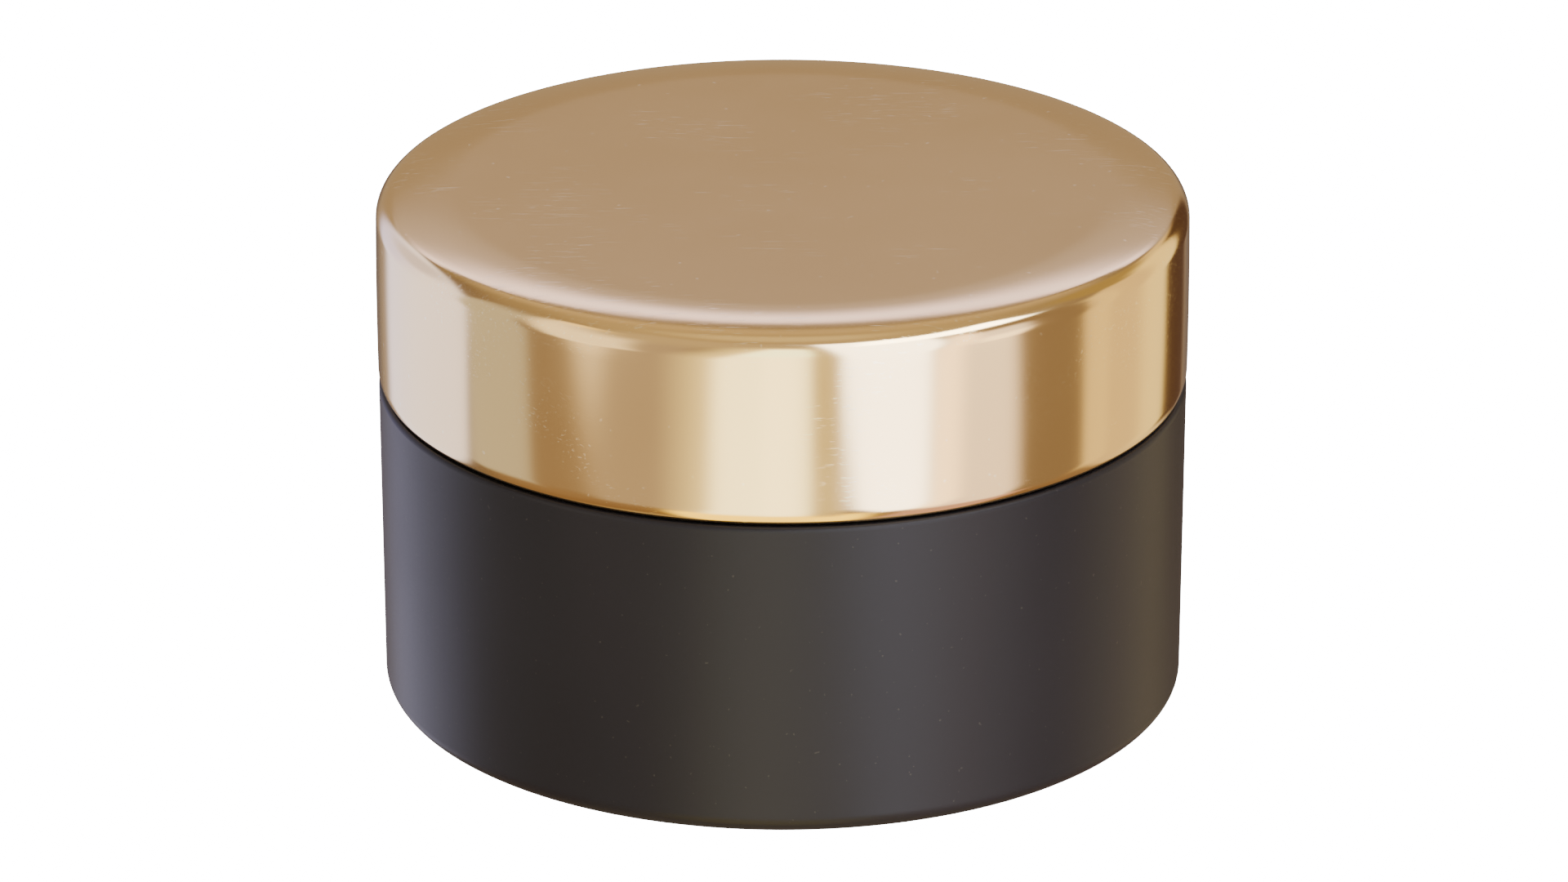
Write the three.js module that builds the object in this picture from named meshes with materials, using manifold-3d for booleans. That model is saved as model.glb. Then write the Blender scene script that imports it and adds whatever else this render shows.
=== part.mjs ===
// A 50 ml double-wall cosmetic cream jar with a screw lid, in millimetres, +Z up.
// The origin is the centre of the face that the jar stands on.
//
// The jar is a lacquered outer shell with a moulded inner cup clipped into it. A sealing disc
// plugs the cup's mouth. The lid is a drawn aluminium shell over a plastic core, which holds a
// steel weight and a threaded insert; a foam liner lies under the insert's top.
import * as THREE from "three";
import { mergeVertices } from "three/addons/utils/BufferGeometryUtils.js";
import Module from "manifold-3d";

// Driving dimensions
const LID_RADIUS = 32;
const LID_HEIGHT = 15.7;
const LID_RIM_Z = 25.9; // underside of the closed lid
const SEAM = 0.15; // shadow gap between the lid and the jar's shoulder
const FIT = 0.3; // clearance between neighbouring pieces
const SEGMENTS = 48; // facets round every turned piece
const ARC_STEPS = 3; // facets along a fillet

// Thread: three starts, so the lid comes off in under one turn
const STARTS = 3;
const LEAD = 9; // rise in one full turn
const THREAD_DEPTH = 0.9;
const THREAD_CLEARANCE = 0.4; // between a crest and the wall it faces
const THREAD_BASE = 1.5; // width of a ridge at its foot
const THREAD_CREST = 0.7;
const THREAD_BURIED = 0.4; // how far a ridge's foot reaches into its wall
const THREAD_STEP = Math.PI / 24;
const RUN_OUT = Math.PI / 9; // stretch over which a ridge fades at each end
const THREAD_START_Z = 26.9; // centre of the neck's lowest ridge, where it starts
const THREAD_OFFSET = 1.8; // the insert's ridges start this much higher, under the neck's next
const NECK_SWEEP = Math.PI * 1.3;
const INSERT_SWEEP = Math.PI * 0.6;

// Lid, outermost piece first
const CROWN_START = LID_RADIUS * 0.8; // the lid's top is flat inside this radius
const CROWN_END = LID_RADIUS * 0.953; // and turns into the side outside this one
const CROWN_SLOPE = THREE.MathUtils.degToRad(10); // reached at the crown's end
const SHELL_WALL = 0.6;
const HEM_WIDTH = 1.2; // the shell's lower edge is folded in
const HEM_HEIGHT = 1.4;
const CORE_WALL = 1;
const CORE_PLATE = 1;
const WEIGHT_THICKNESS = 1.2;
const WEIGHT_RADIUS = 26.5;
const WEIGHT_HOLE = 5;
const INSERT_WALL = 1.1;
const INSERT_PLATE = 1;
const LINER_THICKNESS = 1;
const SEAL_FLANGE = 0.8;
const KEYS = 6; // stop the insert turning in the core
const KEY_WIDTH = 3;

// Jar
const SHOULDER_Z = LID_RIM_Z - SEAM;
const JAR_TOP_RADIUS = LID_RADIUS - 0.08;
const JAR_FOOT_RADIUS = LID_RADIUS - 0.28;
const JAR_BORE = 29.8;
const JAR_FLOOR = 3.3;
const FOOT_INNER_RADIUS = 27.4;
const FOOT_RECESS = 0.8;
const RABBET_RADIUS = 30.8; // step in the shoulder that takes the cup's flange
const RABBET_DEPTH = 1.3;
const CUP_FLOOR_Z = JAR_FLOOR + 0.7;
const CUP_WALL = 1.4;
const CUP_CORNER = 6.5;
const SNAP_Z = 22.9; // height of the bead that clips the cup into the shell
const SNAP_HEIGHT = 1;
const SNAP_DEPTH = 0.4;

// Worked out from the above
const CROWN_RADIUS = (CROWN_END - CROWN_START) / Math.sin(CROWN_SLOPE);
const CROWN_DROP = CROWN_RADIUS * (1 - Math.cos(CROWN_SLOPE));
const EDGE_RADIUS = (LID_RADIUS - CROWN_END) / (1 - Math.sin(CROWN_SLOPE));
const SHELL_BORE = LID_RADIUS - SHELL_WALL;
const CORE_RADIUS = SHELL_BORE - FIT;
const CORE_BORE = CORE_RADIUS - CORE_WALL;
const INSERT_RADIUS = CORE_BORE - FIT;
const INSERT_BORE = INSERT_RADIUS - INSERT_WALL;
const INSERT_CREST = INSERT_BORE - THREAD_DEPTH;
const NECK_RADIUS = INSERT_CREST - THREAD_CLEARANCE;
const NECK_CREST = INSERT_BORE - THREAD_CLEARANCE;
const NECK_BORE = NECK_RADIUS - 1.6;
const CORE_TOP = LID_HEIGHT - SHELL_WALL - FIT;
const WEIGHT_TOP = CORE_TOP - CORE_PLATE - FIT;
const INSERT_TOP = WEIGHT_TOP - WEIGHT_THICKNESS - FIT;
const LINER_TOP = INSERT_TOP - INSERT_PLATE - FIT;
const SEAL_TOP = LINER_TOP - LINER_THICKNESS - FIT;
const RIM_Z = LID_RIM_Z + SEAL_TOP - SEAL_FLANGE - FIT;

const wasm = await Module();
wasm.setup();

// Turns a list of [radius, height, fillet] corners into points, with an arc at each fillet.
function rounded(corners, steps = ARC_STEPS) {
  const at = corners.map(([r, z]) => new THREE.Vector2(r, z));
  return corners.flatMap(([, , fillet], i) => {
    if (!fillet) return [at[i]];
    const toBefore = at[i - 1].clone().sub(at[i]).normalize();
    const toAfter = at[i + 1].clone().sub(at[i]).normalize();
    const half = Math.acos(toBefore.dot(toAfter)) / 2;
    const centre = toBefore.clone().add(toAfter).setLength(fillet / Math.sin(half)).add(at[i]);
    const start = toBefore.setLength(fillet / Math.tan(half)).add(at[i]).sub(centre);
    const end = toAfter.setLength(fillet / Math.tan(half)).add(at[i]).sub(centre);
    const turn = Math.atan2(start.cross(end), start.dot(end));
    return Array.from({ length: steps + 1 }, (_, k) =>
      start.clone().rotateAround(new THREE.Vector2(), (turn * k) / steps).add(centre),
    );
  });
}

// A solid of revolution about Z. The outline runs anticlockwise in the (radius, height) plane.
function turned(points) {
  const first = points[0];
  const outline = first.x === 0 ? points : [...points, first];
  return new THREE.LatheGeometry(outline, SEGMENTS).rotateX(Math.PI / 2);
}

function solidOf(geometry) {
  const bare = geometry.index ? geometry.toNonIndexed() : geometry.clone();
  bare.deleteAttribute("normal");
  bare.deleteAttribute("uv");
  const merged = mergeVertices(bare, 1e-4);
  return new wasm.Manifold(
    new wasm.Mesh({
      numProp: 3,
      vertProperties: merged.attributes.position.array,
      triVerts: new Uint32Array(merged.index.array),
    }),
  );
}

function geometryOf(solid) {
  const { vertProperties, triVerts } = solid.getMesh();
  const geometry = new THREE.BufferGeometry();
  geometry.setAttribute("position", new THREE.BufferAttribute(vertProperties, 3));
  geometry.setIndex(new THREE.BufferAttribute(triVerts, 1));
  geometry.computeVertexNormals();
  return geometry;
}

const joined = (base, extras) =>
  geometryOf(extras.reduce((solid, extra) => solid.add(solidOf(extra)), solidOf(base)));

const cutBy = (base, tools) =>
  geometryOf(tools.reduce((solid, tool) => solid.subtract(solidOf(tool)), solidOf(base)));

// One thread ridge: a bar bent along the helix. wall is the radius of the wall it stands on.
function threadRidge({ wall, crest, lowest, sweep, startAngle }) {
  const outward = Math.sign(crest - wall);
  const foot = wall - outward * THREAD_BURIED;
  const bar = new THREE.BoxGeometry(1, 1, 1, 1, Math.ceil(sweep / THREAD_STEP), 1);
  const place = bar.getAttribute("position");
  for (let i = 0; i < place.count; i += 1) {
    const towardsCrest = 0.5 + outward * place.getX(i);
    const along = (place.getY(i) + 0.5) * sweep;
    const fade = Math.min(1, 0.2 + along / RUN_OUT, 0.2 + (sweep - along) / RUN_OUT);
    const radius = THREE.MathUtils.lerp(foot, crest, towardsCrest * fade);
    const width = THREE.MathUtils.lerp(THREAD_BASE, THREAD_CREST, towardsCrest);
    const angle = startAngle + along;
    place.setXYZ(
      i,
      radius * Math.cos(angle),
      radius * Math.sin(angle),
      lowest + (LEAD * along) / (2 * Math.PI) + place.getZ(i) * width,
    );
  }
  return bar;
}

const thread = (shape) =>
  Array.from({ length: STARTS }, (_, start) =>
    threadRidge({ ...shape, startAngle: shape.startAngle + (start * 2 * Math.PI) / STARTS }),
  );

// A block on the side of a cylinder, repeated evenly round it.
function keyBlocks({ inner, outer, width, low, high }) {
  return Array.from({ length: KEYS }, (_, key) =>
    new THREE.BoxGeometry(outer - inner, width, high - low)
      .translate((inner + outer) / 2, 0, (low + high) / 2)
      .rotateZ((key * 2 * Math.PI) / KEYS),
  );
}

// Outer jar: a tapered cup with a foot ring, a rabbet in its shoulder and a groove for the snap.
function outerJar() {
  const footFillet = 1.6;
  const shoulderFillet = 0.4;
  const rabbetZ = SHOULDER_Z - RABBET_DEPTH;
  const grooveLow = SNAP_Z - SNAP_HEIGHT / 2 - FIT;
  const grooveHigh = SNAP_Z + SNAP_HEIGHT / 2 + FIT;
  return turned(
    rounded([
      [0, FOOT_RECESS],
      [FOOT_INNER_RADIUS, FOOT_RECESS],
      [FOOT_INNER_RADIUS, 0, 0.3],
      [JAR_FOOT_RADIUS, 0, footFillet],
      [JAR_TOP_RADIUS, SHOULDER_Z, shoulderFillet],
      [RABBET_RADIUS, SHOULDER_Z],
      [RABBET_RADIUS, rabbetZ],
      [JAR_BORE, rabbetZ],
      [JAR_BORE, grooveHigh],
      [JAR_BORE + SNAP_DEPTH, grooveHigh],
      [JAR_BORE + SNAP_DEPTH, grooveLow],
      [JAR_BORE, grooveLow],
      [JAR_BORE - 0.3, JAR_FLOOR, 3],
      [0, JAR_FLOOR],
    ]),
  );
}

// Inner cup: holds the cream, and carries the neck, its thread, a flange and a clip skirt.
function innerCup() {
  const flangeTop = SHOULDER_Z - 0.1;
  const flangeLow = SHOULDER_Z - RABBET_DEPTH + FIT;
  const skirtLow = SNAP_Z - 1.3;
  const skirtRadius = JAR_BORE - FIT;
  const skirtInner = skirtRadius - 0.9;
  const bodyTop = NECK_BORE + CUP_WALL;
  const body = turned(
    rounded([
      [0, CUP_FLOOR_Z],
      [bodyTop - 1.2, CUP_FLOOR_Z, CUP_CORNER + CUP_WALL],
      [bodyTop, flangeLow],
      [skirtInner, flangeLow],
      [skirtInner, skirtLow],
      [skirtRadius, skirtLow],
      [skirtRadius, SNAP_Z - SNAP_HEIGHT / 2],
      [skirtRadius + SNAP_DEPTH, SNAP_Z],
      [skirtRadius, SNAP_Z + SNAP_HEIGHT / 2],
      [skirtRadius, flangeLow],
      [RABBET_RADIUS - FIT, flangeLow],
      [RABBET_RADIUS - FIT, flangeTop],
      [NECK_RADIUS, flangeTop],
      [NECK_RADIUS, RIM_Z, 0.5],
      [NECK_BORE, RIM_Z, 0.5],
      [NECK_BORE - 1.2, CUP_FLOOR_Z + CUP_WALL, CUP_CORNER],
      [0, CUP_FLOOR_Z + CUP_WALL],
    ]),
  );
  const ridges = thread({
    wall: NECK_RADIUS,
    crest: NECK_CREST,
    lowest: THREAD_START_Z,
    sweep: NECK_SWEEP,
    startAngle: 0,
  });
  return joined(body, ridges);
}

// Sealing disc, with its flange's underside at z = 0: a plug with a recessed pan and a grip rib.
function sealDisc() {
  const plugRadius = NECK_BORE - FIT;
  const plugTaper = 0.15;
  const plugDepth = 3;
  const wall = 0.8;
  const gripLength = 19;
  const gripHeight = plugDepth + SEAL_FLANGE - 0.4;
  const disc = turned(
    rounded([
      [0, -plugDepth],
      [plugRadius - plugTaper, -plugDepth, 0.5],
      [plugRadius, 0],
      [NECK_RADIUS - 0.3, 0],
      [NECK_RADIUS - 0.3, SEAL_FLANGE],
      [plugRadius - wall, SEAL_FLANGE, 0.3],
      [plugRadius - wall - 0.4, wall - plugDepth, 0.5],
      [0, wall - plugDepth],
    ]),
  );
  const side = new THREE.Shape()
    .moveTo(-gripLength / 2, 0)
    .lineTo(gripLength / 2, 0)
    .quadraticCurveTo(gripLength / 2 - 1, gripHeight, gripLength / 2 - 4, gripHeight)
    .lineTo(4 - gripLength / 2, gripHeight)
    .quadraticCurveTo(1 - gripLength / 2, gripHeight, -gripLength / 2, 0);
  const grip = new THREE.ExtrudeGeometry(side, { depth: 1.4, bevelEnabled: false, curveSegments: 4 })
    .rotateX(Math.PI / 2)
    .translate(0, 0.7, wall / 2 - plugDepth);
  return joined(disc, [grip]);
}

// The lid's pieces are measured from the lid's lower rim, z = 0.

// Lid shell: drawn aluminium with a slightly crowned top and a folded lower edge.
function lidShell() {
  const hemInner = LID_RADIUS - HEM_WIDTH;
  const ceiling = LID_HEIGHT - SHELL_WALL;
  const inside = rounded([
    [0, ceiling],
    [CROWN_START, ceiling],
    [SHELL_BORE, ceiling - CROWN_DROP, EDGE_RADIUS - SHELL_WALL],
    [SHELL_BORE, HEM_HEIGHT + 0.3],
    [hemInner, HEM_HEIGHT],
    [hemInner, 0.35],
  ]);
  const outside = new THREE.Path()
    .moveTo(hemInner + 0.35, 0)
    .lineTo(LID_RADIUS - 0.5, 0)
    .quadraticCurveTo(LID_RADIUS - 0.02, 0.1, LID_RADIUS, 1.3)
    .absarc(
      LID_RADIUS - EDGE_RADIUS,
      LID_HEIGHT - CROWN_DROP - EDGE_RADIUS * Math.cos(CROWN_SLOPE),
      EDGE_RADIUS,
      0,
      Math.PI / 2 - CROWN_SLOPE,
    )
    .absarc(CROWN_START, LID_HEIGHT - CROWN_RADIUS, CROWN_RADIUS, Math.PI / 2 - CROWN_SLOPE, Math.PI / 2)
    .lineTo(0, LID_HEIGHT);
  return turned([...inside, ...outside.getPoints(ARC_STEPS)]);
}

// Lid core: stiffens the shell, centres the weight and drives the insert through its slots.
function lidCore() {
  const lowest = HEM_HEIGHT + 0.5;
  const plateLow = CORE_TOP - CORE_PLATE;
  const ringInner = WEIGHT_RADIUS + FIT;
  const body = turned(
    rounded([
      [0, WEIGHT_TOP - WEIGHT_THICKNESS],
      [WEIGHT_HOLE - FIT, WEIGHT_TOP - WEIGHT_THICKNESS],
      [WEIGHT_HOLE - FIT, plateLow],
      [ringInner, plateLow],
      [ringInner, plateLow - 1],
      [ringInner + 1, plateLow - 1],
      [ringInner + 1, plateLow],
      [CORE_BORE, plateLow],
      [CORE_BORE, lowest],
      [CORE_RADIUS, lowest],
      [CORE_RADIUS, CORE_TOP - CROWN_DROP, EDGE_RADIUS - SHELL_WALL],
      [CROWN_START - 1, CORE_TOP],
      [0, CORE_TOP],
    ]),
  );
  const slots = keyBlocks({
    inner: CORE_BORE - 1,
    outer: CORE_BORE + 0.5,
    width: KEY_WIDTH + 2 * FIT,
    low: lowest - 1,
    high: INSERT_TOP - 1,
  });
  return cutBy(body, slots);
}

// Weight: a blanked steel ring that makes the lid feel solid.
function lidWeight() {
  return turned(
    rounded([
      [WEIGHT_HOLE, WEIGHT_TOP - WEIGHT_THICKNESS],
      [WEIGHT_RADIUS, WEIGHT_TOP - WEIGHT_THICKNESS],
      [WEIGHT_RADIUS, WEIGHT_TOP, 0.3],
      [WEIGHT_HOLE, WEIGHT_TOP],
    ]),
  );
}

// Threaded insert: a cap with the thread inside its skirt and keys outside it.
function threadInsert() {
  const lowest = 0.4;
  const flangeTop = 1.4;
  const flangeRadius = LID_RADIUS - HEM_WIDTH - FIT;
  const body = turned(
    rounded([
      [0, INSERT_TOP - INSERT_PLATE],
      [INSERT_BORE, INSERT_TOP - INSERT_PLATE],
      [INSERT_BORE, lowest],
      [flangeRadius, lowest, 0.3],
      [flangeRadius, flangeTop],
      [INSERT_RADIUS, flangeTop],
      [INSERT_RADIUS, INSERT_TOP, 0.6],
      [0, INSERT_TOP],
    ]),
  );
  const keys = keyBlocks({
    inner: INSERT_RADIUS - 0.5,
    outer: INSERT_RADIUS + 0.45,
    width: KEY_WIDTH,
    low: flangeTop + 1,
    high: INSERT_TOP - 1.6,
  });
  const ridges = thread({
    wall: INSERT_BORE,
    crest: INSERT_CREST,
    lowest: THREAD_START_Z + THREAD_OFFSET - LID_RIM_Z,
    sweep: INSERT_SWEEP,
    startAngle: 0,
  });
  return joined(body, [...keys, ...ridges]);
}

function foamLiner() {
  const radius = INSERT_BORE - FIT;
  return turned(
    rounded([
      [0, LINER_TOP - LINER_THICKNESS],
      [radius, LINER_TOP - LINER_THICKNESS, 0.2],
      [radius, LINER_TOP],
      [0, LINER_TOP],
    ]),
  );
}

const FINISHES = {
  blackLacquer: { color: 0x2a2624, roughness: 0.5, metalness: 0 },
  whitePolypropylene: { color: 0xece9e2, roughness: 0.4, metalness: 0 },
  goldAluminium: { color: 0xe8c68e, roughness: 0.2, metalness: 1 },
  blackPlastic: { color: 0x1b1a19, roughness: 0.55, metalness: 0 },
  steel: { color: 0x9a9a98, roughness: 0.35, metalness: 1 },
  foam: { color: 0xf4f4f0, roughness: 0.9, metalness: 0 },
};

function piece(name, geometry, finish) {
  const mesh = new THREE.Mesh(geometry, new THREE.MeshStandardMaterial(FINISHES[finish]));
  mesh.name = name;
  return mesh;
}

const jar = new THREE.Group();
jar.add(
  piece("outer_jar", outerJar(), "blackLacquer"),
  piece("inner_cup", innerCup(), "whitePolypropylene"),
);

const seal = new THREE.Group();
seal.position.z = RIM_Z + FIT;
seal.add(piece("seal_disc", sealDisc(), "whitePolypropylene"));

const lid = new THREE.Group();
lid.position.z = LID_RIM_Z;
lid.add(
  piece("lid_shell", lidShell(), "goldAluminium"),
  piece("lid_core", lidCore(), "blackPlastic"),
  piece("lid_weight", lidWeight(), "steel"),
  piece("thread_insert", threadInsert(), "whitePolypropylene"),
  piece("foam_liner", foamLiner(), "foam"),
);

const creamJar = new THREE.Group();
creamJar.add(jar, seal, lid);

export default creamJar;
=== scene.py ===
# A low round cream jar: matt dark lacquered body and a champagne-gold anodised screw lid, on a plain
# white floor in soft studio light. The jar, its cup, the sealing disc, the lid's shell and insert and
# the liner are turned again at high resolution, on the frame's own sizes. The lid's core and weight,
# which are shut inside it, keep the frame's meshes.
import math

import bmesh
import bpy
from mathutils import Matrix, Vector


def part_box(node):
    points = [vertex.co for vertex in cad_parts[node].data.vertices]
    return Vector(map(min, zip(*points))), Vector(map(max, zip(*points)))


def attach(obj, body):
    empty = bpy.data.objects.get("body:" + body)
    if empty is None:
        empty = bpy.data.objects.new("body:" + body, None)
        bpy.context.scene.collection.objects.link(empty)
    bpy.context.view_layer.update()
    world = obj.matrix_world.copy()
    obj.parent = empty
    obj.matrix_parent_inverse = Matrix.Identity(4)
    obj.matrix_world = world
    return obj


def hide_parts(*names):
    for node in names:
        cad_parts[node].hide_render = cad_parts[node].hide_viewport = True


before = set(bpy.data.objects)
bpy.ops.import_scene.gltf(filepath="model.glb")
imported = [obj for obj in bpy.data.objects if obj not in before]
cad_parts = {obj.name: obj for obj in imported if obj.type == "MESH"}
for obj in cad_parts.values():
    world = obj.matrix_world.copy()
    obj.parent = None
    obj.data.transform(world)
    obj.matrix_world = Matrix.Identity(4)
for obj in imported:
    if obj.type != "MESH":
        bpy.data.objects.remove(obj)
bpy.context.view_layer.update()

MM = 0.001
SEGMENTS = 240  # facets round a turned piece
FINE_SEGMENTS = 320  # and round the two outer ones
CREASE = math.radians(30)  # sharper edges are shaded as edges
TURN = 2 * math.pi

# Sizes read from the frame, in millimetres
lid_low, lid_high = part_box("lid_shell")
jar_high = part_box("outer_jar")[1]
cup_low, cup_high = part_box("inner_cup")
seal_low, seal_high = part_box("seal_disc")
liner_low, liner_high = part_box("foam_liner")
insert_low, insert_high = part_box("thread_insert")

LID_R = lid_high[0] / MM
LID_Z = lid_low[2] / MM
LID_TOP = lid_high[2] / MM
SHOULDER_Z = jar_high[2] / MM
RIM_Z = cup_high[2] / MM
SEAL_LOW = seal_low[2] / MM
SEAL_TOP = seal_high[2] / MM
LINER_LOW = liner_low[2] / MM
LINER_TOP = liner_high[2] / MM
INSERT_Z = insert_low[2] / MM
INSERT_TOP = insert_high[2] / MM
CUP_FLOOR_Z = cup_low[2] / MM

# Lid shell
CROWN_START = 0.80 * LID_R
CROWN_END = 0.953 * LID_R
CROWN_SLOPE = math.radians(10)
BARREL = 0.045  # how far the spun wall swells at its middle
SHELL_WALL = 0.6
HEM_WIDTH = 1.2  # the lower edge is folded in this far
HEM_HEIGHT = 1.4

# Neck and thread: three starts, the same helix as in the frame
GAP = 0.3  # clearance between neighbouring pieces
CORE_WALL = 1
INSERT_R = LID_R - SHELL_WALL - GAP - CORE_WALL - GAP
INSERT_BORE = INSERT_R - 1.1
THREAD_DEPTH = 0.9
THREAD_CLEARANCE = 0.4  # between a crest and the wall it faces
NECK_R = INSERT_BORE - THREAD_DEPTH - THREAD_CLEARANCE
NECK_BORE = NECK_R - 1.6
STARTS = 3
LEAD = 9.0
THREAD_HALF_WIDTH = 0.75
THREAD_STEP = 0.08  # height of the facets that carry a thread
RUN_OUT = math.pi / 9  # stretch over which a ridge fades at each end
NECK_THREAD_Z = 26.9
INSERT_THREAD_Z = NECK_THREAD_Z + 1.8
NECK_SWEEP = 1.3 * math.pi
INSERT_SWEEP = 0.6 * math.pi

# Jar and cup
JAR_FOOT_R = LID_R - 0.28
JAR_TOP_R = LID_R - 0.08
JAR_BORE = 29.8
RABBET_DEPTH = 1.3  # step in the shoulder that takes the cup's flange
SNAP_Z = 22.9  # height of the bead that clips the cup into the jar
SNAP_DEPTH = 0.4
CUP_WALL = 1.4


# ---------------------------------------------------------------- shapes

def smooth(x):
    """0 up to x = 0 and 1 from x = 1, with a smooth step between."""
    x = min(1.0, max(0.0, x))
    return x * x * (3 - 2 * x)


def rounded(corners, steps=8):
    """[radius, height, fillet] corners to points, with an arc at each corner that has a fillet."""
    points = []
    for i, (r, z, *fillet) in enumerate(corners):
        here = Vector((r, z))
        if not fillet:
            points.append(here)
            continue
        before = (Vector(corners[i - 1][:2]) - here).normalized()
        after = (Vector(corners[(i + 1) % len(corners)][:2]) - here).normalized()
        half = math.acos(max(-1.0, min(1.0, before.dot(after)))) / 2
        centre = here + (before + after).normalized() * (fillet[0] / math.sin(half))
        start = here + before * (fillet[0] / math.tan(half)) - centre
        end = here + after * (fillet[0] / math.tan(half)) - centre
        turn = math.atan2(start.x * end.y - start.y * end.x, start.dot(end))
        for k in range(steps + 1):
            a = turn * k / steps
            points.append(centre + Vector((
                start.x * math.cos(a) - start.y * math.sin(a),
                start.x * math.sin(a) + start.y * math.cos(a),
            )))
    return points


def arc(cx, cz, radius, start, end, steps):
    """Points along an arc round (cx, cz)."""
    return [
        Vector((cx + radius * math.cos(a), cz + radius * math.sin(a)))
        for a in (start + (end - start) * k / steps for k in range(steps + 1))
    ]


def column(r, low, high, step):
    """Points up or down a straight wall, step apart."""
    count = max(1, round(abs(high - low) / step))
    return [Vector((r, low + (high - low) * k / count)) for k in range(count + 1)]


def solid(name, bm):
    """The bmesh as an object of the scene."""
    mesh = bpy.data.meshes.new(name)
    bm.to_mesh(mesh)
    bm.free()
    obj = bpy.data.objects.new(name, mesh)
    bpy.context.scene.collection.objects.link(obj)
    return obj


def smoothed(obj):
    obj.data.shade_smooth()
    obj.data.set_sharp_from_angle(angle=CREASE)
    return obj


def turned(name, outline, shape=None, segments=SEGMENTS):
    """A closed solid of revolution. shape(r, z, angle) may move a point in or out."""
    bm = bmesh.new()
    rings = []
    for p in outline:
        if p.x < 1e-6:
            rings.append([bm.verts.new((0, 0, p.y * MM))])
            continue
        ring = []
        for k in range(segments):
            a = TURN * k / segments
            r = (shape(p.x, p.y, a) if shape else p.x) * MM
            ring.append(bm.verts.new((r * math.cos(a), r * math.sin(a), p.y * MM)))
        rings.append(ring)
    closed = len(rings[0]) > 1
    pairs = list(zip(rings, rings[1:]))
    if closed:
        pairs.append((rings[-1], rings[0]))
    for low, high in pairs:
        for k in range(segments):
            n = (k + 1) % segments
            if len(low) == 1:
                bm.faces.new((low[0], high[n], high[k]))
            elif len(high) == 1:
                bm.faces.new((low[k], low[n], high[0]))
            else:
                bm.faces.new((low[k], low[n], high[n], high[k]))
    bmesh.ops.recalc_face_normals(bm, faces=bm.faces)
    return smoothed(solid(name, bm))


def joined(obj, extra):
    """obj with the solid extra moulded onto it; extra goes."""
    union = obj.modifiers.new("union", "BOOLEAN")
    union.operation = "UNION"
    union.solver = "EXACT"
    union.object = extra
    bpy.context.view_layer.update()
    evaluated = obj.evaluated_get(bpy.context.evaluated_depsgraph_get())
    whole = bpy.data.meshes.new_from_object(evaluated)
    obj.modifiers.clear()
    obj.data = whole
    bpy.data.objects.remove(extra)
    return smoothed(obj)


def thread(wall, outward, start_z, sweep):
    """A shape function for turned(): a rounded helical ridge on the wall of radius wall."""
    flatness = 1.9  # more makes the crest flatter and the flanks steeper

    def shape(r, z, angle):
        if abs(r - wall) > 1e-4:
            return r
        height = 0.0
        for start in range(STARTS):
            along = (angle - start * TURN / STARTS) % TURN
            if along > sweep:
                continue
            off = abs(z - start_z - LEAD * along / TURN) / THREAD_HALF_WIDTH
            fade = smooth(along / RUN_OUT) * smooth((sweep - along) / RUN_OUT)
            height = max(height, smooth((1 - off) * flatness) * fade)
        return r + outward * THREAD_DEPTH * height
    return shape


# ---------------------------------------------------------------- materials

class Nodes:
    """The node tree of a material or a world, with short calls for the nodes used here."""

    def __init__(self, owner):
        owner.use_nodes = True
        self.owner = owner
        self.tree = owner.node_tree
        self.spaces = self.new("ShaderNodeTexCoord").outputs
        self.coords = self.spaces["Object"]

    def new(self, kind, settings=None, inputs=None):
        node = self.tree.nodes.new(kind)
        for key, value in (settings or {}).items():
            setattr(node, key, value)
        for key, value in (inputs or {}).items():
            self.put(node.inputs[key], value)
        return node

    def put(self, socket, value):
        if isinstance(value, bpy.types.NodeSocket):
            self.tree.links.new(value, socket)
        else:
            socket.default_value = value

    def stretched(self, scale, turn=(0, 0, 0)):
        node = self.new("ShaderNodeMapping", inputs={
            "Vector": self.coords, "Scale": scale, "Rotation": [math.radians(a) for a in turn],
        })
        return node.outputs["Vector"]

    def noise(self, scale, detail=4.0, rough=0.55, vector=None, distortion=0.0):
        return self.new("ShaderNodeTexNoise", inputs={
            "Vector": vector or self.coords, "Scale": scale, "Detail": detail,
            "Roughness": rough, "Distortion": distortion,
        }).outputs["Fac"]

    def span(self, value, low, high, to_low=0.0, to_high=1.0):
        return self.new("ShaderNodeMapRange", {"interpolation_type": "SMOOTHSTEP"}, {
            "Value": value, "From Min": low, "From Max": high, "To Min": to_low, "To Max": to_high,
        }).outputs["Result"]

    def math(self, operation, a, b=0.0, c=0.0):
        return self.new("ShaderNodeMath", {"operation": operation}, {0: a, 1: b, 2: c}).outputs[0]

    def mix(self, factor, a, b):
        node = self.new("ShaderNodeMix", {"data_type": "RGBA"})
        self.put(node.inputs[0], factor)
        self.put(node.inputs[6], a)
        self.put(node.inputs[7], b)
        return node.outputs[2]

    def bump(self, height, strength, distance, normal=None):
        inputs = {"Height": height, "Strength": strength, "Distance": distance}
        if normal:
            inputs["Normal"] = normal
        return self.new("ShaderNodeBump", inputs=inputs).outputs["Normal"]

    def finish(self, **inputs):
        """Sets the material's shader, and gives the material back."""
        for key, value in inputs.items():
            self.put(self.tree.nodes["Principled BSDF"].inputs[key.replace("_", " ")], value)
        return self.owner


def material(name):
    return Nodes(bpy.data.materials.new(name))


def rgb(r, g, b):
    return (r, g, b, 1.0)


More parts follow.
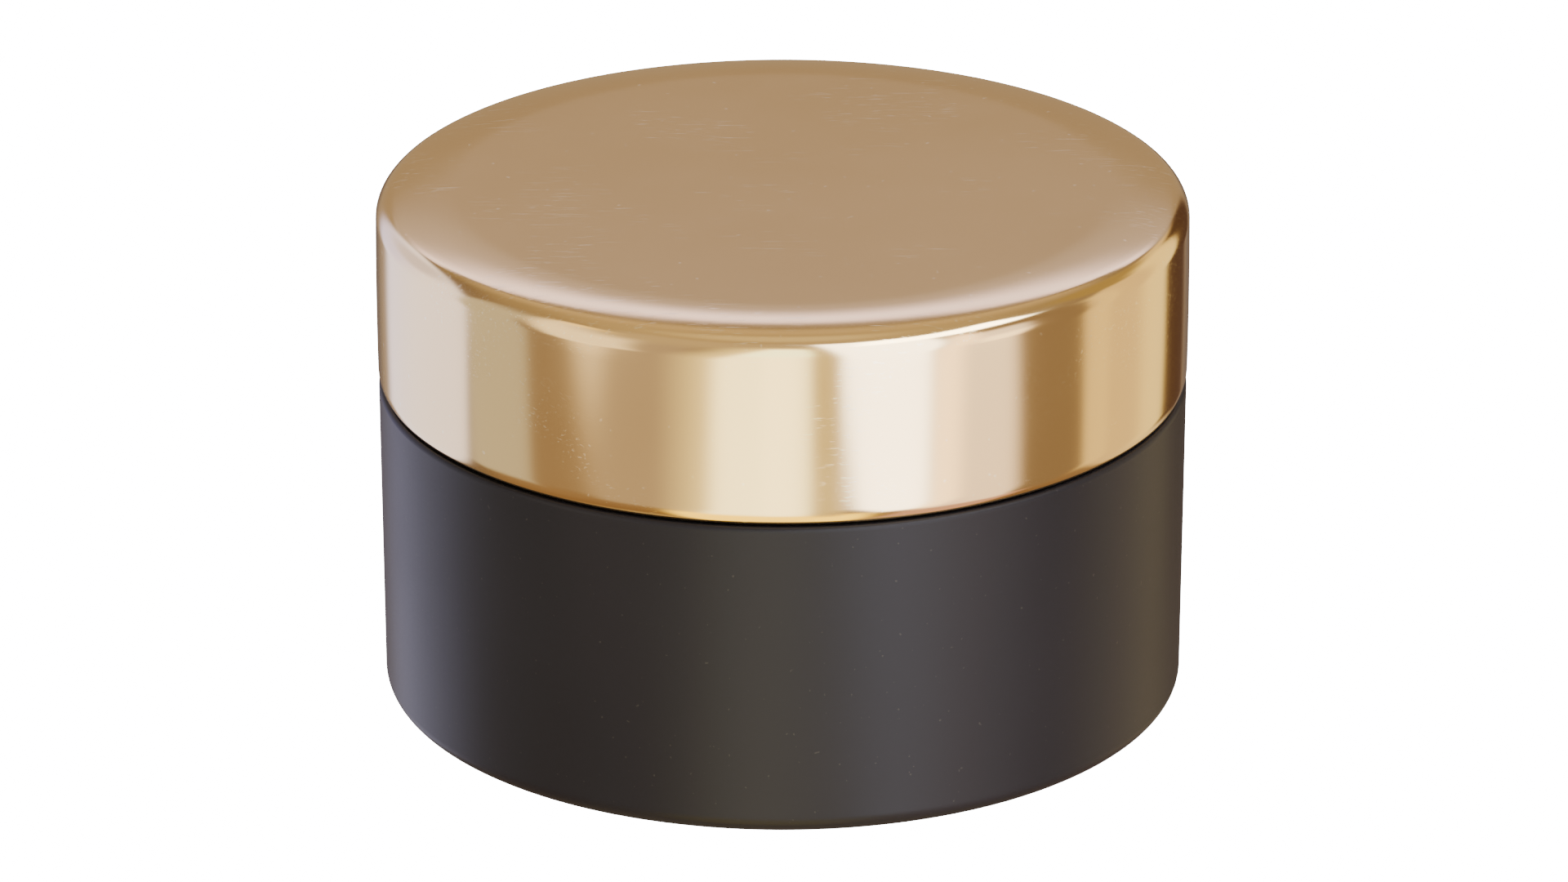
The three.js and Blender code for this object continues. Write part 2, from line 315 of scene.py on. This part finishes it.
def hairlines(n, turn, across, along, low, high):
    """Sparse hairline scratches: noise drawn out along one direction and cut to its peaks.

    turn is that direction in degrees, across and along are the noise's scales, and low and high
    are where the cut starts and ends.
    """
    lines = n.noise(1.0, 2.0, 0.6, n.stretched((along, across, across), (0, 0, turn)), 0.3)
    patches = n.noise(90.0, 2.0)
    return n.math("MULTIPLY", n.span(lines, low, high), n.span(patches, 0.50, 0.60))


def gold_anodised():
    n = material("gold_anodised")
    grain = n.noise(9000.0, 3.0, 0.6)
    cloud = n.noise(60.0, 4.0, 0.55)
    scratches = hairlines(n, 3, 4200.0, 240.0, 0.62, 0.70)
    for turn, across, along, low, high in (
        (31, 3800.0, 420.0, 0.66, 0.73),
        (-52, 3600.0, 380.0, 0.67, 0.74),
    ):
        scratches = n.math("MAXIMUM", scratches, hairlines(n, turn, across, along, low, high))
    flecks = n.math("MULTIPLY", n.span(n.noise(1500.0, 1.0), 0.74, 0.80), 0.7)
    marks = n.math("MAXIMUM", n.math("MULTIPLY", scratches, 0.8), flecks)
    colour = n.mix(cloud, rgb(0.90, 0.700, 0.405), rgb(0.94, 0.740, 0.435))
    colour = n.mix(n.math("MULTIPLY", marks, 0.75), colour, rgb(1.0, 0.90, 0.68))
    rough = n.math("ADD", n.span(cloud, 0.3, 0.7, 0.100, 0.125), n.math("MULTIPLY", marks, 0.10))
    rough = n.math("ADD", rough, n.math("MULTIPLY", grain, 0.02))
    normal = n.bump(grain, 0.06, 0.00001)
    normal = n.bump(marks, 0.05, 0.00001, normal)
    return n.finish(Base_Color=colour, Metallic=1.0, Roughness=rough, Normal=normal)


def jar_lacquer():
    n = material("dark_matt_lacquer")
    grain = n.noise(5200.0, 3.0, 0.6)
    cloud = n.noise(45.0, 4.0, 0.5)
    speck = n.span(n.noise(2600.0, 1.0), 0.75, 0.80)
    colour = n.mix(cloud, rgb(0.0187, 0.0180, 0.0232), rgb(0.0230, 0.0219, 0.0282))
    colour = n.mix(n.math("MULTIPLY", speck, 0.3), colour, rgb(0.10, 0.09, 0.08))
    rough = n.math("ADD", n.span(cloud, 0.3, 0.7, 0.335, 0.385), n.math("MULTIPLY", grain, 0.04))
    normal = n.bump(grain, 0.10, 0.00001)
    return n.finish(Base_Color=colour, Roughness=rough, Normal=normal, IOR=1.365)


def white_polypropylene():
    n = material("white_polypropylene")
    grain = n.noise(2600.0, 3.0, 0.6)
    cloud = n.noise(70.0, 3.0, 0.5)
    colour = n.mix(cloud, rgb(0.80, 0.79, 0.755), rgb(0.85, 0.845, 0.815))
    rough = n.span(cloud, 0.3, 0.7, 0.205, 0.255)
    normal = n.bump(grain, 0.12, 0.00002)
    return n.finish(
        Base_Color=colour, Roughness=rough, Normal=normal, IOR=1.49,
        Subsurface_Weight=0.08, Subsurface_Scale=0.0006,
    )


def liner_foam():
    n = material("liner_foam")
    cells = n.new("ShaderNodeTexVoronoi", {"feature": "DISTANCE_TO_EDGE"}, {
        "Vector": n.coords, "Scale": 2600.0, "Randomness": 1.0,
    }).outputs["Distance"]
    wall = n.span(cells, 0.02, 0.25)
    cloud = n.noise(120.0, 4.0)
    # the sunken cell hollows are painted darker than their rims: painted shade in the pores
    colour = n.mix(wall, rgb(0.88, 0.88, 0.86), rgb(0.70, 0.70, 0.68))
    rough = n.span(cloud, 0.3, 0.7, 0.78, 0.92)
    normal = n.bump(wall, 0.5, -0.00008)
    return n.finish(Base_Color=colour, Roughness=rough, Normal=normal, IOR=1.4)


def black_moulding():
    n = material("black_moulding")
    grain = n.noise(3000.0, 4.0, 0.6)
    cloud = n.noise(60.0, 3.0)
    colour = n.mix(cloud, rgb(0.016, 0.016, 0.016), rgb(0.026, 0.025, 0.024))
    rough = n.span(grain, 0.3, 0.7, 0.42, 0.55)
    return n.finish(Base_Color=colour, Roughness=rough, Normal=n.bump(grain, 0.2, 0.00002))


def plated_steel():
    n = material("plated_steel")
    lines = n.noise(1.0, 3.0, 0.6, n.stretched((300.0, 6000.0, 300.0), (0, 0, 12)))
    cloud = n.noise(80.0, 4.0)
    colour = n.mix(cloud, rgb(0.50, 0.50, 0.49), rgb(0.60, 0.60, 0.59))
    rough = n.span(lines, 0.3, 0.7, 0.28, 0.42)
    return n.finish(
        Base_Color=colour, Metallic=1.0, Roughness=rough, Normal=n.bump(lines, 0.15, 0.00001),
    )


GOLD = gold_anodised()
LACQUER = jar_lacquer()
WHITE = white_polypropylene()
FOAM = liner_foam()
BLACK = black_moulding()
STEEL = plated_steel()


def place(obj, finish, body, node):
    """Gives the piece its material, and puts it on the body in place of the frame's node."""
    obj.data.materials.append(finish)
    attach(obj, body)
    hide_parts(node)
    return obj


# ---------------------------------------------------------------- lid

def lid_overshell():
    radius = (CROWN_END - CROWN_START) / math.sin(CROWN_SLOPE)
    drop = radius * (1 - math.cos(CROWN_SLOPE))
    edge = (LID_R - CROWN_END) / (1 - math.sin(CROWN_SLOPE))
    ceiling = LID_TOP - SHELL_WALL
    bore = LID_R - SHELL_WALL
    hem = LID_R - HEM_WIDTH
    fold = 0.35  # radius of the hem's inner edge
    inside = rounded([
        (0, ceiling),
        (CROWN_START, ceiling),
        (bore, ceiling - drop, edge - SHELL_WALL),
        (bore, LID_Z + HEM_HEIGHT + 0.3),
        (hem, LID_Z + HEM_HEIGHT),
        (hem, LID_Z + fold),
    ])
    # The folded lower edge: a quarter of an ellipse from the underside up to the wall
    tuck_in, tuck_up = 0.55, 1.3
    lower = [
        Vector((LID_R - BARREL - tuck_in * (1 - math.cos(a)), LID_Z + tuck_up * (1 + math.sin(a))))
        for a in (-math.pi / 2 + math.pi / 2 * k / 12 for k in range(13))
    ]
    # The wall, with its slight swell
    centre_z = LID_TOP - drop - edge * math.cos(CROWN_SLOPE)
    middle = (LID_Z + tuck_up + centre_z) / 2
    half = (centre_z - LID_Z - tuck_up) / 2
    wall = [
        Vector((LID_R - BARREL * t * t, middle + half * t))
        for t in (k / 6 - 1 for k in range(1, 12))
    ]
    side = arc(LID_R - BARREL - edge, centre_z, edge, 0, math.pi / 2 - CROWN_SLOPE, 20)
    crown = arc(CROWN_START, LID_TOP - radius, radius, math.pi / 2 - CROWN_SLOPE, math.pi / 2, 16)
    flat = [Vector((r * LID_R, LID_TOP)) for r in (0.78, 0.74, 0.6, 0.4, 0.2, 0)]
    outline = inside + [Vector((hem + 0.1, LID_Z + 0.1))] + lower + wall + side + crown[1:] + flat
    return turned("lid_overshell", outline, segments=FINE_SEGMENTS)


def insert_keys(low, high):
    """The keys on the insert's outside, which stop it turning in the lid's core."""
    count, width, buried, proud, rounding = 6, 3.0, 0.5, 0.45, 0.15
    size = Vector((buried + proud, width, high - low)) * MM
    centre = Vector((INSERT_R + (proud - buried) / 2, 0, (low + high) / 2)) * MM
    bm = bmesh.new()
    for k in range(count):
        spot = Matrix.Rotation(k * TURN / count, 4, "Z") @ Matrix.LocRotScale(centre, None, size)
        bmesh.ops.create_cube(bm, size=1, matrix=spot)
    bmesh.ops.bevel(bm, geom=bm.edges, offset=rounding * MM, segments=3, profile=0.5, affect="EDGES")
    return solid("insert_keys", bm)


def lid_insert():
    plate = 1
    flange_r = LID_R - HEM_WIDTH - GAP
    flange_top = INSERT_Z + 1
    ceiling = INSERT_TOP - plate
    outline = rounded([
        (0, ceiling),
        (INSERT_BORE, ceiling, 0.5),
        (INSERT_BORE, ceiling - 1),
    ])
    outline += column(INSERT_BORE, ceiling - 1, INSERT_Z + 0.4, THREAD_STEP)[1:]
    outline += rounded([
        (INSERT_BORE + 0.3, INSERT_Z),
        (flange_r, INSERT_Z, 0.3),
        (flange_r, flange_top, 0.2),
        (INSERT_R, flange_top),
        (INSERT_R, INSERT_TOP, 0.6),
        (0, INSERT_TOP),
    ])
    cap = turned("lid_insert", outline, thread(INSERT_BORE, -1, INSERT_THREAD_Z, INSERT_SWEEP))
    return joined(cap, insert_keys(flange_top + 1, INSERT_TOP - 1.6))


def liner_wad():
    """The foam disc, with the neck's rim printed into its underside."""
    radius = INSERT_BORE - GAP
    inside, dent = 0.05, 0.12  # how far the foam inside the print, and in it, is pressed back
    outline = rounded([
        (0, LINER_LOW + inside),
        (NECK_BORE - 1, LINER_LOW + inside),
        (NECK_BORE - 0.6, LINER_LOW + dent),
        (NECK_R + 0.2, LINER_LOW + dent),
        (NECK_R + 0.6, LINER_LOW),
        (radius, LINER_LOW, 0.3),
        (radius, LINER_TOP, 0.2),
        (0, LINER_TOP),
    ])
    return turned("liner_wad", outline, segments=160)


# ---------------------------------------------------------------- jar

def jar_body():
    gate_r, dimple_r, disc_r, recess_r = 0.9, 3, 20, 26.9  # rings under the jar, from the middle out
    gate_z, dimple_z, disc_z, recess_z = 0.85, 1.1, 0.95, 0.8
    foot_inner_r = 27.6
    rabbet_r = LID_R - 1.2
    rabbet_z = SHOULDER_Z - RABBET_DEPTH
    groove_r = JAR_BORE + SNAP_DEPTH
    groove_half = 0.8
    floor_z = 3.3
    outline = rounded([
        (0, gate_z),
        (gate_r, gate_z, 0.1),
        (gate_r + 0.3, dimple_z, 0.15),
        (dimple_r, dimple_z, 0.2),
        (dimple_r + 0.4, disc_z),
        (disc_r, disc_z),
        (disc_r + 0.4, recess_z),
        (recess_r, recess_z),
        (recess_r + 0.5, recess_z - 0.2, 0.2),
        (foot_inner_r, 0, 0.3),
        (JAR_FOOT_R, 0, 1.6),
        (JAR_TOP_R, SHOULDER_Z, 0.4),
        (rabbet_r, SHOULDER_Z, 0.12),
        (rabbet_r, rabbet_z),
        (JAR_BORE, rabbet_z),
        (JAR_BORE, SNAP_Z + groove_half),
        (groove_r, SNAP_Z + groove_half),
        (groove_r, SNAP_Z - groove_half),
        (JAR_BORE, SNAP_Z - groove_half),
        (JAR_BORE - 0.3, floor_z, 3),
        (0, floor_z),
    ], 12)
    return turned("jar_body", outline, segments=FINE_SEGMENTS)


def cream_cup():
    flange_top = SHOULDER_Z - 0.1
    flange_low = SHOULDER_Z - RABBET_DEPTH + GAP
    flange_r = LID_R - 1.5
    skirt = JAR_BORE - GAP
    skirt_inner = skirt - 0.9
    skirt_low = SNAP_Z - 1.3
    snap_half = 0.5
    outer = NECK_BORE + CUP_WALL
    taper, corner = 1.2, 6.5  # the cup narrows downwards, and turns into its floor
    root = 0.35  # where the neck meets the flange
    outline = rounded([
        (0, CUP_FLOOR_Z),
        (outer - taper, CUP_FLOOR_Z, corner + CUP_WALL),
        (outer, flange_low),
        (skirt_inner, flange_low),
        (skirt_inner, skirt_low),
        (skirt, skirt_low),
        (skirt, SNAP_Z - snap_half),
        (skirt + SNAP_DEPTH, SNAP_Z),
        (skirt, SNAP_Z + snap_half),
        (skirt, flange_low),
        (flange_r, flange_low),
        (flange_r, flange_top, 0.15),
        (NECK_R + root, flange_top),
    ])
    outline += column(NECK_R, flange_top + root, RIM_Z - 0.6, THREAD_STEP)
    outline += rounded([
        (NECK_R, RIM_Z - 0.55),
        (NECK_R, RIM_Z, 0.45),
        (NECK_BORE, RIM_Z, 0.5),
        (NECK_BORE - taper, CUP_FLOOR_Z + CUP_WALL, corner),
        (0, CUP_FLOOR_Z + CUP_WALL),
    ], 12)
    return turned("cream_cup", outline, thread(NECK_R, 1, NECK_THREAD_Z, NECK_SWEEP))


def grip_rib(low, high):
    """The rib across the sealing disc that it is lifted out by, along X."""
    half, thickness, shoulder, rounding = 9.5, 1.4, 4.0, 0.3
    bend = [(0, 0), (1, 1), (shoulder, 1)]  # the rounded end: a quadratic curve's three points
    end = []
    for k in range(13):
        t = k / 12
        inwards, up = (
            (1 - t) ** 2 * a + 2 * t * (1 - t) * b + t ** 2 * c
            for a, b, c in zip(*bend)
        )
        end.append((half - inwards, low + (high - low) * up))
    outline = end + [(-x, z) for x, z in reversed(end)]
    bm = bmesh.new()
    face = bm.faces.new([bm.verts.new((x * MM, -thickness / 2 * MM, z * MM)) for x, z in outline])
    grown = bmesh.ops.extrude_face_region(bm, geom=[face])["geom"]
    bmesh.ops.translate(
        bm, vec=(0, thickness * MM, 0), verts=[v for v in grown if isinstance(v, bmesh.types.BMVert)],
    )
    bmesh.ops.recalc_face_normals(bm, faces=bm.faces)
    rims = [e for e in bm.edges if abs(e.verts[0].co.y - e.verts[1].co.y) < 1e-7 and e.is_manifold]
    bmesh.ops.bevel(bm, geom=rims, offset=rounding * MM, segments=4, profile=0.5, affect="EDGES")
    return solid("grip_rib", bm)


def seal_plug():
    wall = 0.8
    flange_z = SEAL_TOP - wall
    flange_r = NECK_R - 0.3
    plug_r = NECK_BORE - GAP
    pan = SEAL_LOW + wall
    outline = rounded([
        (0, SEAL_LOW),
        (plug_r - 0.15, SEAL_LOW, 0.5),
        (plug_r, flange_z),
        (flange_r, flange_z, 0.15),
        (flange_r, SEAL_TOP, 0.25),
        (plug_r - wall, SEAL_TOP, 0.3),
        (plug_r - wall - 0.4, pan, 0.5),
        (0, pan),
    ])
    return joined(turned("seal_plug", outline), grip_rib(pan - wall / 2, SEAL_TOP))


place(lid_overshell(), GOLD, "lid", "lid_shell")
place(lid_insert(), WHITE, "lid", "thread_insert")
wad = place(liner_wad(), FOAM, "liner", "foam_liner")
place(jar_body(), LACQUER, "jar", "outer_jar")
place(cream_cup(), WHITE, "jar", "inner_cup")
place(seal_plug(), WHITE, "seal", "seal_disc")

for node, finish in (("lid_core", BLACK), ("lid_weight", STEEL)):
    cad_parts[node].data.materials.clear()
    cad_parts[node].data.materials.append(finish)


# ---------------------------------------------------------------- floor, light and camera

scene = bpy.context.scene
scene.view_settings.view_transform = "AgX"
scene.view_settings.look = "AgX - Medium High Contrast"

WHITE_LEVEL = 8.0  # bright enough for this look to show it as pure white


def floor():
    """A white floor that the pieces neither mirror nor are lit by, and that is clear from below."""
    mesh = bpy.data.meshes.new("floor")
    half, z = 6.0, -0.00005  # a hair under the jar's foot
    corners = [(-half, -half, z), (half, -half, z), (half, half, z), (-half, half, z)]
    mesh.from_pydata(corners, [], [(0, 1, 2, 3)])
    obj = bpy.data.objects.new("floor", mesh)
    scene.collection.objects.link(obj)
    n = material("floor_white")
    above = n.math("SUBTRACT", 1.0, n.new("ShaderNodeNewGeometry").outputs["Backfacing"])
    obj.data.materials.append(n.finish(
        Base_Color=rgb(0.9, 0.9, 0.9), Roughness=0.9, Alpha=above,
        Emission_Color=rgb(1.0, 1.0, 1.0), Emission_Strength=WHITE_LEVEL,
    ))
    obj.visible_glossy = False
    obj.visible_diffuse = False
    obj.visible_shadow = False
    obj.visible_transmission = False


floor()

# The studio round the jar, which the gold mirrors. Directions are in degrees: bearings start at the
# camera's side and grow to its right, and heights are above the horizon. Later cards cover earlier ones.
# The room itself, from straight down to the ceiling: height, colour
ROOM = [
    (-90, (0.52, 0.40, 0.24)),
    (-68, (0.52, 0.40, 0.24)),
    (-54, (0.31, 0.20, 0.12)),
    (-34, (0.36, 0.25, 0.16)),
    (-14, (0.37, 0.29, 0.22)),
    (16, (0.37, 0.29, 0.22)),
    (38, (0.36, 0.28, 0.20)),
    (50, (0.42, 0.33, 0.22)),
    (66, (0.55, 0.44, 0.29)),
    (84, (0.77, 0.64, 0.42)),
]
# Round cards: bearing, height, radius, softness, colour
DISCS = [
    (-133, -3, 45, 14, (0.24, 0.18, 0.13)),
    (-133, -3, 37, 4, (1.34, 1.30, 1.61)),
    (-144, 2, 20, 20, (1.06, 1.02, 1.54)),
    (-128, 18, 13, 12, (0.92, 0.86, 1.06)),
    (127, -3, 37, 4, (0.94, 0.735, 0.43)),
    (124, 36, 14, 8, (0.45, 0.34, 0.17)),
]
# Flat cards: bearings of the lower edge's ends, bearings of the upper edge's ends, heights of the two
# edges, softness of the sides and of the two edges, colour
CARDS = [
    # the far wall behind the jar, with its bright window strip
    ((150, 210), (140, 220), (36, 62), (40, 3, 20), (0.63, 0.50, 0.33)),
    ((154, 210), (154, 210), (-30, 22), (8, 8, 5), (0.42, 0.33, 0.24)),
    ((160, 200), (160, 200), (-60, -5), (14, 8, 8), (0.20, 0.16, 0.14)),
    ((150, 210), (150, 210), (21, 29), (8, 5, 4), (0.57, 0.48, 0.45)),
    ((151, 209), (151, 209), (28.8, 35.8), (4, 6, 1), (1.34, 1.19, 1.46)),
    ((156, 204), (156, 204), (31.2, 35.8), (10, 2, 1), (1.70, 1.48, 1.84)),
    ((140, 220), (140, 220), (35.8, 40.5), (12, 1, 4), (0.33, 0.26, 0.17)),
    # on the camera's left
    ((-99, -76), (-99, -78), (-30, 34), (4, 10, 30), (0.66, 0.61, 0.52)),
    ((-56, -28), (-56, -24), (-34, 40), (10, 8, 24), (0.54, 0.44, 0.345)),
    ((-60, -52), (-67, -42), (-20.2, -12), (9, 7, 6), (1.72, 1.48, 1.12)),
    ((-67, -42), (-83, -44), (-16, 50), (9, 7, 6), (1.38, 1.20, 0.93)),
    ((-80, -50), (-76, -56), (44, 51), (10, 6, 4), (1.75, 1.35, 0.65)),
    ((-60, 20), (-75, 30), (30, 64), (30, 30, 14), (0.62, 0.51, 0.36)),
    ((-34, 8), (-14, 8), (-46, 40), (18, 10, 26), (1.25, 1.08, 0.66)),
    # in front: the warm table, and the bright cards that stand on it
    ((-44, 36), (-34, 26), (-72, -37), (10, 8, 8), (2.12, 1.62, 0.42)),
    ((-24, 8), (-5, 8), (-39, 36), (7, 10, 18), (2.44, 2.33, 1.76)),
    ((-6, 4), (-5, 4), (-39, 36), (3, 10, 18), (2.66, 2.50, 1.90)),
    ((-12, 8), (-4, 8), (2, 34), (5, 14, 14), (2.42, 2.62, 2.04)),
    # on the camera's right, the bright side
    ((9, 18), (8, 18), (-44, 46), (4, 14, 10), (0.84, 0.68, 0.38)),
    ((68, 92), (68, 92), (-40, 38), (4, 10, 10), (0.325, 0.243, 0.170)),
    ((40, 86), (38, 84), (-66, -41), (8, 8, 4), (0.82, 0.51, 0.44)),
    ((44, 76), (44, 69), (-44, -20), (8, 6, 4), (1.46, 1.25, 1.15)),
    ((42, 68), (46, 73), (-22, 24), (6, 4, 12), (1.48, 1.30, 1.21)),
    ((55, 68), (55, 71), (-17, 2), (8, 5, 14), (2.35, 2.00, 1.64)),
    ((40, 49), (50, 58), (-40, 34), (7, 8, 20), (2.42, 1.97, 1.57)),
    ((31, 41.5), (17.2, 41.5), (-39, -20), (6, 6, 6), (3.72, 3.70, 4.02)),
    ((16.8, 41.5), (12, 49), (-22, 58), (4, 6, 6), (3.76, 3.78, 4.12)),
    ((22, 88), (30, 90), (40, 57), (6, 6, 4), (6.00, 6.00, 6.00)),
    # the tan reflector's bright edges, and the flag at its far side
    ((95.5, 105), (95.5, 105), (-30, 24), (4, 14, 14), (1.07, 0.85, 0.47)),
    ((122, 140), (122, 140), (-30, 26), (10, 14, 14), (1.20, 0.98, 0.51)),
    ((136, 158), (140, 158), (-27, -16), (4, 6, 2), (0.12, 0.07, 0.052)),
    ((139.5, 158), (142, 158), (-17.5, 20), (4, 2, 6), (0.12, 0.07, 0.052)),
]


def studio():
    world = bpy.data.worlds.new("studio")
    scene.world = world
    n = Nodes(world)

    def over(factor, under, colour):
        """colour laid over what is under it; a plain vector, because it is brighter than 1."""
        node = n.new("ShaderNodeMix", {"data_type": "VECTOR"}, {0: factor, 4: under, 5: colour})
        return node.outputs[1]

    def along(value, start, end, first, last):
        """A number that goes from first at start to last at end, in a straight line."""
        slope = (last - first) / (end - start)
        return n.math("MULTIPLY_ADD", value, slope, first - slope * start)

    direction = n.spaces["Generated"]
    axes = n.new("ShaderNodeSeparateXYZ", inputs={0: direction}).outputs
    bearing = n.math("DEGREES", n.math("ARCTAN2", axes["X"], n.math("MULTIPLY", axes["Y"], -1.0)))
    height = n.math("DEGREES", n.math("ARCSINE", axes["Z"]))

    light = ROOM[0][1]
    for (low, _), (high, colour) in zip(ROOM, ROOM[1:]):
        light = over(n.span(height, low, high), light, colour)
    for facing, tilt, radius, soft, colour in DISCS:
        facing, tilt = math.radians(facing), math.radians(tilt)
        centre = (math.sin(facing) * math.cos(tilt), -math.cos(facing) * math.cos(tilt), math.sin(tilt))
        dot = n.new("ShaderNodeVectorMath", {"operation": "DOT_PRODUCT"}, {0: direction, 1: centre})
        away = n.math("DEGREES", n.math("ARCCOSINE", dot.outputs["Value"]))
        light = over(n.span(away, radius + soft / 2, radius - soft / 2), light, colour)
    for bottom, top, (low, high), (soft, soft_low, soft_high), colour in CARDS:
        middle = along(height, low, high, sum(bottom) / 2, sum(top) / 2)
        half = along(height, low, high, (bottom[1] - bottom[0]) / 2, (top[1] - top[0]) / 2)
        off = n.math("WRAP", n.math("SUBTRACT", bearing, middle), 180.0, -180.0)
        side = n.span(n.math("SUBTRACT", half, n.math("ABSOLUTE", off)), -soft / 2, soft / 2)
        up = n.span(height, low - soft_low / 2, low + soft_low / 2)
        down = n.span(height, high + soft_high / 2, high - soft_high / 2)
        light = over(n.math("MULTIPLY", side, n.math("MULTIPLY", up, down)), light, colour)
    # Seen directly, the studio is plain white
    seen = n.new("ShaderNodeLightPath").outputs["Is Camera Ray"]
    light = over(seen, light, (WHITE_LEVEL,) * 3)
    n.put(n.tree.nodes["Background"].inputs["Color"], light)


studio()


def camera():
    """The photograph's viewpoint, fitted to the outlines of the lid and the jar."""
    elevation = math.radians(22.126)
    distance = 22.216 * LID_R * MM
    target = Vector((0.0001, 0, 0.6239 * LID_R * MM))  # near the middle of the jar
    data = bpy.data.cameras.new("camera")
    data.sensor_width = 36.0
    data.lens = 205.7
    obj = bpy.data.objects.new("camera", data)
    scene.collection.objects.link(obj)
    obj.location = target + distance * Vector((0, -math.cos(elevation), math.sin(elevation)))
    obj.rotation_euler = (math.pi / 2 - elevation, 0, 0)
    scene.camera = obj


camera()
